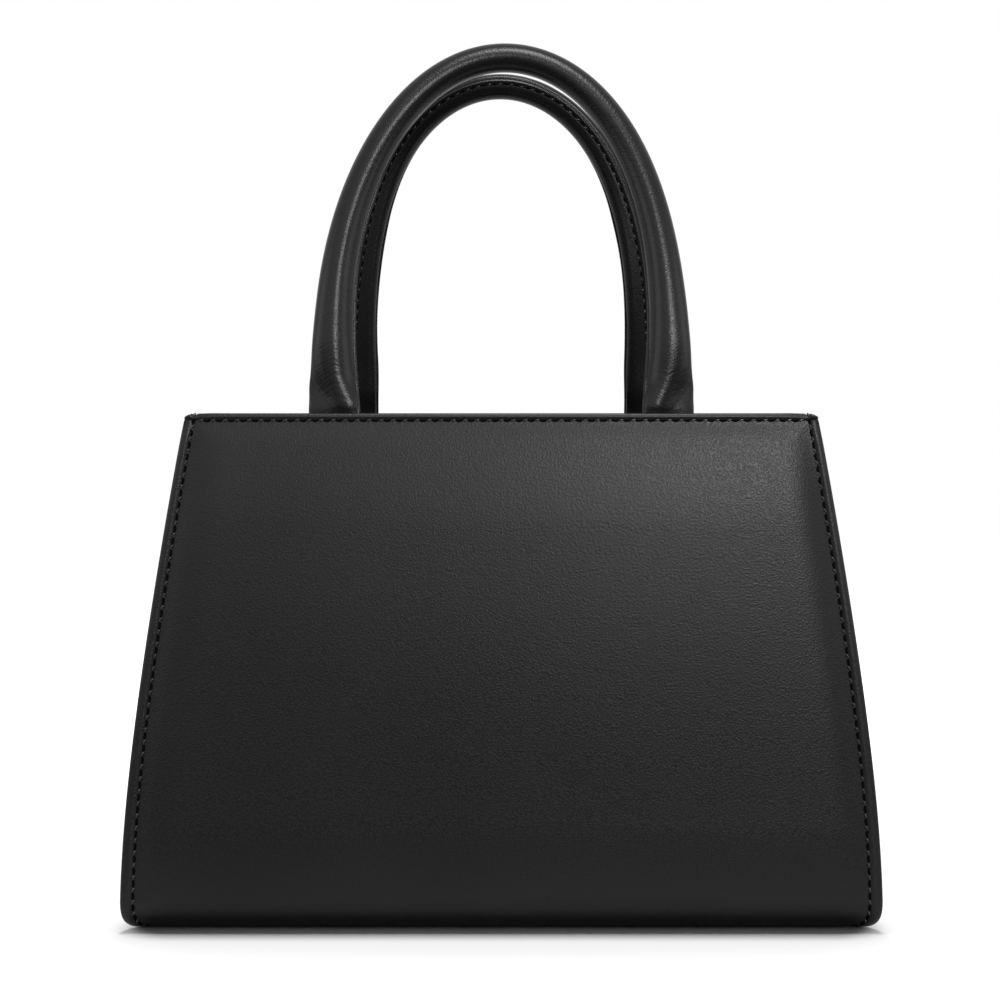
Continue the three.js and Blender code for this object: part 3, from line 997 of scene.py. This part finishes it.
# The flat tongue at a root, and the unevenness of the leather that bends there
TONGUE = 9.0
TONGUE_HALF = 1.3
TONGUE_TAPER = 0.6
TONGUE_FADE = 20.0
KINK = 0.35
KINK_HEIGHT = 8.0
KINK_REACH = 4.0
RUMPLE = 0.1
RUMPLE_PACE = 2.6
RUMPLE_FADE = 5.0
RUMPLE_SLANT = 2.0
RUMPLE_EDGE = -0.4

# The lap of the rolled leather and its sewing, as shares of the roll's half width and in millimetres
LAP_EDGE = 0.42
LAP_RAMP = (-0.98, -0.45)
LAP_STEP = 0.018
LAP_RISE = 0.75
LAP_SEAM = 0.12
LAP_GROOVE = 0.7
HANDLE_SEWING = 0.7
SEWING_START = 7.0
SEWN_FACE = 0.72
SEWN_TILT = 0.35
SKEW = 2.0
TWIST = 2.2
FIN = 0.7
FIN_THICKNESS = 0.9
FIN_ROOT = 2.5
FIN_WAVE = 0.12
FIN_WAVE_LENGTH = 9.0

# Heights above the root's bend between which the roll changes
ARCH_START = 45.0
ARCH = (ARCH_START, APEX)
LEG_RISE = (-10.0, 25.0)
ROLL_WIDENS = (-6.0, 16.0)
ROLL_ROUNDS = (0.0, 26.0)
SEAM_STARTS = (2.0, 12.0)
TWIST_ENDS = (4.0, 26.0)
FIN_ENDS = (78.0, 122.0)
ROOT_PRESSED = (0.5, 4.0)

# How the two handles differ
SWAY = {"front": 1.4, "back": 0.4}
SPREAD = {"front": 0.7, "back": -2.2}
SLIM = {"front": 0.0, "back": 1.0}
ARCH_LIFT = {"front": 0.0, "back": 0.85}

# The filler cord
CORD_START = 20.0
CORD_STRANDS = 3
STRAND_DEPTH = 0.08
STRAND_TURN = 6.0
CORD_ASPECT = 1.4


def handle_path(wall, count=240):
    """Evenly spaced points of the handle's middle line in its own plane, from one root to the other."""
    half = HANDLE_SPAN / 2
    turn = np.linspace(0, np.pi, 1200)
    x = -half * np.cos(turn)
    z = LEG_HEIGHT + (APEX - LEG_HEIGHT) * np.sin(turn) ** ARCH_SWELL
    line = np.concatenate([[[-half, -TONGUE]], np.stack([x, z], axis=-1), [[half, -TONGUE]]])
    run = np.r_[0, np.cumsum(steps(line, 0))]
    even = np.linspace(0, run[-1], count)
    points = along_run(even, run, line)
    arch = smooth(points[:, 1], *ARCH)
    legs = smooth(points[:, 1], *LEG_RISE) * (1 - arch)
    points[:, 0] += SWAY[wall] * arch
    points[:, 0] += SPREAD[wall] * np.sign(points[:, 0]) * legs
    points[:, 1] += ARCH_LIFT[wall] * arch
    return points, even


def handle_half_width(z, wall):
    flare = (ROOT_WIDTH - TUBE) * np.exp(-np.maximum(z, 0) / WIDTH_FLARE)
    return (TUBE + flare - SLIM[wall] * smooth(z, *ARCH)) / 2


def roll_half_thickness(z):
    return (TUBE - (TUBE - ROOT_THICKNESS) * np.exp(-np.maximum(z, 0) / THICKNESS_FLARE)) / 2


def handle_half_thickness(c, z, face):
    """Half the thickness of the rolled leather at a share c of its width.
    C is 1 outside the arch and -1 inside it. The roll is round outside and flatter on its sewn face.
    Towards the root it narrows to the inner corner, beside a flat tongue."""
    reach = 0.5 + 0.5 * smooth(z, *ROLL_WIDENS)
    share = np.minimum(1, np.abs((c + 1 - reach) / reach))
    above = np.maximum(z, 0)
    tilt = 1 + SEWN_TILT * c * smooth(z, *ARCH)
    sewn_face = SEWN_FACE * tilt * np.sqrt(1 - share**5)
    rounding = 0.5 + 0.5 * (1 - smooth(z, *ROLL_ROUNDS))
    roll = roll_half_thickness(z) * np.where(face > 0, sewn_face, (1 - share**2) ** rounding)
    rounded = (1 - np.abs(c) ** 5) ** 0.5
    tongue = (TONGUE_HALF - TONGUE_TAPER * c) * np.exp(-above / TONGUE_FADE) * rounded
    pressed = 1 - 0.5 * smooth(-z, *ROOT_PRESSED)
    return pressed * (roll**3 + tongue**3) ** (1 / 3)


def handle_middle(c, z):
    """How far the middle of the section lies towards the other handle, at its seam and at its root."""
    on_legs = smooth(z, *SEAM_STARTS) * (1 - smooth(z, *ARCH))
    at_seam = SKEW * np.maximum(-c, 0) ** 2 * on_legs
    at_root = TWIST * (c + 1) / 2 * (1 - smooth(z, *TWIST_ENDS))
    return at_seam + at_root


def beside_path(points, across, y):
    """Points in the bag's frame at a distance across the handle and off its plane.
    The distance is positive outside the arch."""
    tangent = unit(np.gradient(points, axis=0))
    outward = np.stack([-tangent[:, 1], tangent[:, 0]], axis=-1)
    x = points[:, :1] + outward[:, :1] * across
    z = points[:, 1:] + outward[:, 1:] * across
    out = y + ROOT_THICKNESS / 2
    leaned_y = out * math.cos(HANDLE_LEAN) + z * math.sin(HANDLE_LEAN)
    leaned_z = -out * math.sin(HANDLE_LEAN) + z * math.cos(HANDLE_LEAN)
    return stacked(x, HINGE_Y + leaned_y, HINGE_Z + leaned_z)


def handle_surface(c, face, points, run, wall):
    """Points of the roll's face at a share c of its width.
    Face is -1 on the outer side and 1 on the side towards the other handle."""
    z = points[:, 1:]
    half = handle_half_width(z, wall)
    thick = handle_half_thickness(c, z, face)
    sewn = smooth(z, *SEAM_STARTS)
    lap = LAP_RISE * smooth(c, *LAP_RAMP) * (c < LAP_EDGE) * (face > 0) * sewn
    drawn = LAP_GROOVE * groove((c - LAP_SEAM) * half) * (face > 0) * sewn
    kink = KINK * np.exp(-(((z - KINK_HEIGHT) / KINK_REACH) ** 2)) * np.maximum(c, 0)
    wave = RUMPLE * np.sin(run[:, None] * RUMPLE_PACE + RUMPLE_SLANT * c)
    rumple = wave * np.exp(-np.maximum(z, 0) / RUMPLE_FADE) * np.maximum(0, c - RUMPLE_EDGE)
    y = handle_middle(c, z) + face * (thick + lap - drawn + rumple * (1 - c**2))
    return beside_path(points, (half + kink) * c, y)


def fin_rings(wall, sides=14):
    """The sewn edge of the rolled leather, which stands out past the roll on the legs."""
    points, run = handle_path(wall)
    z = points[:, 1:]
    half = handle_half_width(z, wall)
    stand = FIN * (1 - smooth(z, *FIN_ENDS))
    wave = FIN_WAVE * np.sin(run[:, None] / FIN_WAVE_LENGTH)
    turn = once_round(sides)[None, :]
    reach = (stand + FIN_ROOT) / 2
    across = -half - (stand - FIN_ROOT) / 2 + wave * smooth(stand, 0.5, FIN) + reach * np.cos(turn)
    return beside_path(points, across, handle_middle(-1.0, z) + FIN_THICKNESS / 2 * np.sin(turn))


def cord_rings(wall, sides=24):
    """The filler cord inside the roll: twisted strands, from a little above one root to the other."""
    points, run = handle_path(wall)
    inside = points[:, 1] >= CORD_START
    points = points[inside]
    z = points[:, 1:]
    full = roll_half_thickness(z)
    half_thick = (1 + SEWN_FACE) / 2 * full - LEATHER - LAYER_GAP
    half_wide = np.minimum(handle_half_width(z, wall) - 2 * LEATHER, CORD_ASPECT * half_thick)
    turn = once_round(sides)[None, :]
    twist = run[inside][:, None] / STRAND_TURN
    strand = 1 - STRAND_DEPTH + STRAND_DEPTH * np.abs(np.sin(CORD_STRANDS / 2 * turn + twist))
    y = handle_middle(0.0, z) - (1 - SEWN_FACE) / 2 * full + half_thick * strand * np.sin(turn)
    return beside_path(points, half_wide * strand * np.cos(turn), y)


def handle_rings(wall):
    """Rings of the roll, closest together at the step of its lap."""
    points, run = handle_path(wall)
    outer = np.cos(np.linspace(np.pi, 0, 29))
    before_lap = np.cos(np.linspace(0, math.acos(LAP_EDGE + LAP_STEP), 13))[1:]
    after_lap = np.cos(np.linspace(math.acos(LAP_EDGE - LAP_STEP), np.pi, 21))[:-1]
    c = np.concatenate([outer, before_lap, after_lap])[None, :]
    face = np.concatenate([-np.ones(len(outer)), np.ones(len(before_lap) + len(after_lap))])[None, :]
    return handle_surface(c, face, points, run, wall)


def handle_seam(wall):
    """The line of stitches beside the lap, on the side towards the other handle."""
    points, run = handle_path(wall, 900)
    c = np.full((1, 1), LAP_SEAM)
    face = np.ones((1, 1))
    middle = handle_surface(c, face, points, run, wall)[:, 0]
    beside = handle_surface(c + 0.05, face, points, run, wall)[:, 0]
    normals = unit(np.cross(beside - middle, np.gradient(middle, axis=0)))
    normals *= np.sign(normals[:, 1:2] + 1e-9)

    def line(marks):
        return along_run(marks, run, middle), along_run(marks, run, normals)
    return line


def dress_handle(wall):
    place = walls[wall]
    cover = joined(f"{wall}_handle", [place(handle_rings(wall)), place(fin_rings(wall))], rolled_leather)
    tabs = [f"{wall}_{side}_handle_tab" for side in ("left", "right")]
    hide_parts(f"{wall}_handle_cover", *tabs)
    cord = joined(f"{wall}_handle_cord", [place(cord_rings(wall))], cotton_cord)
    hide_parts(f"{wall}_handle_core")
    length = handle_path(wall)[1][-1]
    marks = marks_between(TONGUE + SEWING_START, length - TONGUE - SEWING_START)
    sewn = seam(handle_seam(wall), marks, HANDLE_SEWING)
    start, end = [place(np.array([0.0, HINGE_Y, z])) * MM for z in ROOT_BEND]
    for piece in (cover, cord, *sewing(f"{wall}_handle", place, [sewn])):
        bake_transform(piece)


for wall_name in walls:
    dress_wrap(wall_name)
    dress_inside(wall_name)
    dress_handle(wall_name)
for side_name, wall_name in quarters:
    dress_gusset(side_name, wall_name)
dress_base()


# Stage, light and camera

AMBIENT = 0.15
FOOT_GLOW = 0.45
PAINTED_SHADOW_FADE = (0.012, 0.024)
FLOOR_FADE = (0.08, 0.5)
FLOOR_HALF = 6.0
ROOM_START = (0.04, 0.28)
ROOM_RISE = 0.3
ROOM_TURN = 0.5
CAMERA_PLACE = (-0.0005, -0.6445, 0.1592)
LENS = 57.6


def seen(tree, bright):
    """1 for what is seen directly or through glass, how bright it is in a reflection,
    and 0 where it only lights."""
    path = add_node(tree, "ShaderNodeLightPath").outputs
    direct = math_node(tree, "MAXIMUM", path["Is Camera Ray"], path["Is Transmission Ray"])
    reflected = math_node(tree, "MULTIPLY", path["Is Glossy Ray"], bright)
    return math_node(tree, "MAXIMUM", direct, reflected)


def one_minus(tree, value):
    return math_node(tree, "SUBTRACT", 1.0, value)


def rising(tree, value, low, high, top=1.0):
    """A smooth rise from 0 to the top, while a value goes from low to high."""
    return mapped(tree, value, (low, high), (0.0, top), interpolation_type="SMOOTHSTEP")


def vector_node(tree, operation, *inputs):
    return add_node(tree, "ShaderNodeVectorMath", enumerate(inputs), operation=operation).outputs


def away_from_bag(tree, place):
    """Distance over the floor from the foot of the bag, in metres."""
    foot = ((BASE_HALF - BEND_RADIUS) * MM, BEND_CENTRE * MM, 1.0)
    spread = vector_node(tree, "ABSOLUTE", place)[0]
    beyond = vector_node(tree, "SUBTRACT", spread, foot)[0]
    outside = vector_node(tree, "MAXIMUM", beyond, (0, 0, 0))[0]
    return vector_node(tree, "LENGTH", outside)["Value"]


def floor_material():
    """A pale floor that keeps the lit shadow round the bag and fades to white away from it. Its glow is
    held back near the bag's foot, which paints a contact shadow on top of the lit one.
    """
    made, tree = blank_material("pale_floor")
    place = object_place(tree)
    colour = shades(tree, noise(tree, place, scale=3.0), grey(0.86), grey(0.88))
    room = rising(tree, parts_of(tree, place)["Y"], -ROOM_START[1], -ROOM_START[0])
    reflected = add_node(tree, "ShaderNodeLightPath").outputs["Is Glossy Ray"]
    kept = one_minus(tree, math_node(tree, "MULTIPLY", reflected, one_minus(tree, room)))
    scaled = [(0, colour), ("Scale", kept)]
    dimmed = add_node(tree, "ShaderNodeVectorMath", scaled, operation="SCALE").outputs[0]
    matt = add_node(tree, "ShaderNodeBsdfDiffuse", [("Color", dimmed)])
    distance = away_from_bag(tree, place)
    # Close to the foot the glow is left out, so the floor there stays dark: painted contact shadow.
    near = rising(tree, distance, *PAINTED_SHADOW_FADE, top=FOOT_GLOW)
    far = rising(tree, distance, *FLOOR_FADE, top=1 - FOOT_GLOW)
    strength = math_node(tree, "MULTIPLY", math_node(tree, "ADD", near, far), seen(tree, room))
    glow = add_node(tree, "ShaderNodeEmission", [("Strength", strength)])
    both = add_node(tree, "ShaderNodeAddShader", [(0, matt.outputs[0]), (1, glow.outputs[0])])
    add_node(tree, "ShaderNodeOutputMaterial", [("Surface", both.outputs[0])])
    return made


def add_floor():
    corners = [(FLOOR_HALF * x, FLOOR_HALF * y, 0) for x, y in ((-1, -1), (1, -1), (1, 1), (-1, 1))]
    mesh = bpy.data.meshes.new("floor")
    mesh.from_pydata(corners, [], [(0, 1, 2, 3)])
    mesh.materials.append(floor_material())
    floor = add_object("floor", mesh)


def add_world():
    """A white sweep behind and beside the bag, and a dim room low down in front of it."""
    world = bpy.data.worlds.new("studio")
    bpy.context.scene.world = world
    world.use_nodes = True
    tree = world.node_tree
    tree.nodes.clear()
    direction = parts_of(tree, add_node(tree, "ShaderNodeTexCoord").outputs["Generated"])
    beside = rising(tree, direction["Y"], -ROOM_TURN, 0.0)
    above = rising(tree, direction["Z"], 0.0, ROOM_RISE)
    bright = seen(tree, math_node(tree, "MAXIMUM", beside, above))
    level = mapped(tree, bright, (0.0, 1.0), (AMBIENT, 1.0))
    sky = add_node(tree, "ShaderNodeBackground", [("Color", grey(1.0)), ("Strength", level)])
    add_node(tree, "ShaderNodeOutputWorld", [("Surface", sky.outputs[0])])


def add_lamp(name, place, target, size, watts, floor="EXCLUDE"):
    """A square lamp that looks at a target, and lights all but the floor or the floor alone."""
    data = bpy.data.lights.new(name, "AREA")
    data.shape = "SQUARE"
    data.size = size
    data.energy = watts
    lamp = add_object(name, data)
    lamp.location = place
    away = Vector(place) - Vector(target)
    lamp.rotation_euler = away.to_track_quat("Z", "Y").to_euler()
    flagged = bpy.data.collections.new(f"{name}_flag")
    flagged.objects.link(bpy.data.objects["floor"])
    flagged.collection_objects[0].light_linking.link_state = floor
    lamp.light_linking.receiver_collection = flagged


def add_camera():
    data = bpy.data.cameras.new("camera")
    data.sensor_width = 36.0
    data.lens = LENS
    camera = add_object("camera", data)
    camera.location = CAMERA_PLACE
    camera.rotation_euler = (math.pi / 2, 0, 0)
    bpy.context.scene.camera = camera


add_floor()
add_world()
add_lamp("key", (0.5, -1.9, 0.78), (0.0, -0.05, 0.15), 0.5, 20.5)
add_lamp("brow", (0.12, -0.75, 1.35), (0.0, -0.03, 0.33), 0.5, 17.0)
add_lamp("front_fill", (-1.0, -2.2, 0.95), (0.0, 0.0, 0.2), 1.6, 4.5)
add_lamp("left_fill", (-1.6, -0.7, 0.5), (0.0, 0.0, 0.2), 1.0, 6.0)
add_lamp("right_fill", (1.6, -0.7, 0.5), (0.0, 0.0, 0.2), 1.0, 6.0)
add_lamp("overhead", (0.0, 0.1, 1.4), (0.0, 0.0, 0.0), 0.55, 15.0, floor="INCLUDE")
add_camera()
bpy.context.scene.view_settings.view_transform = "Standard"
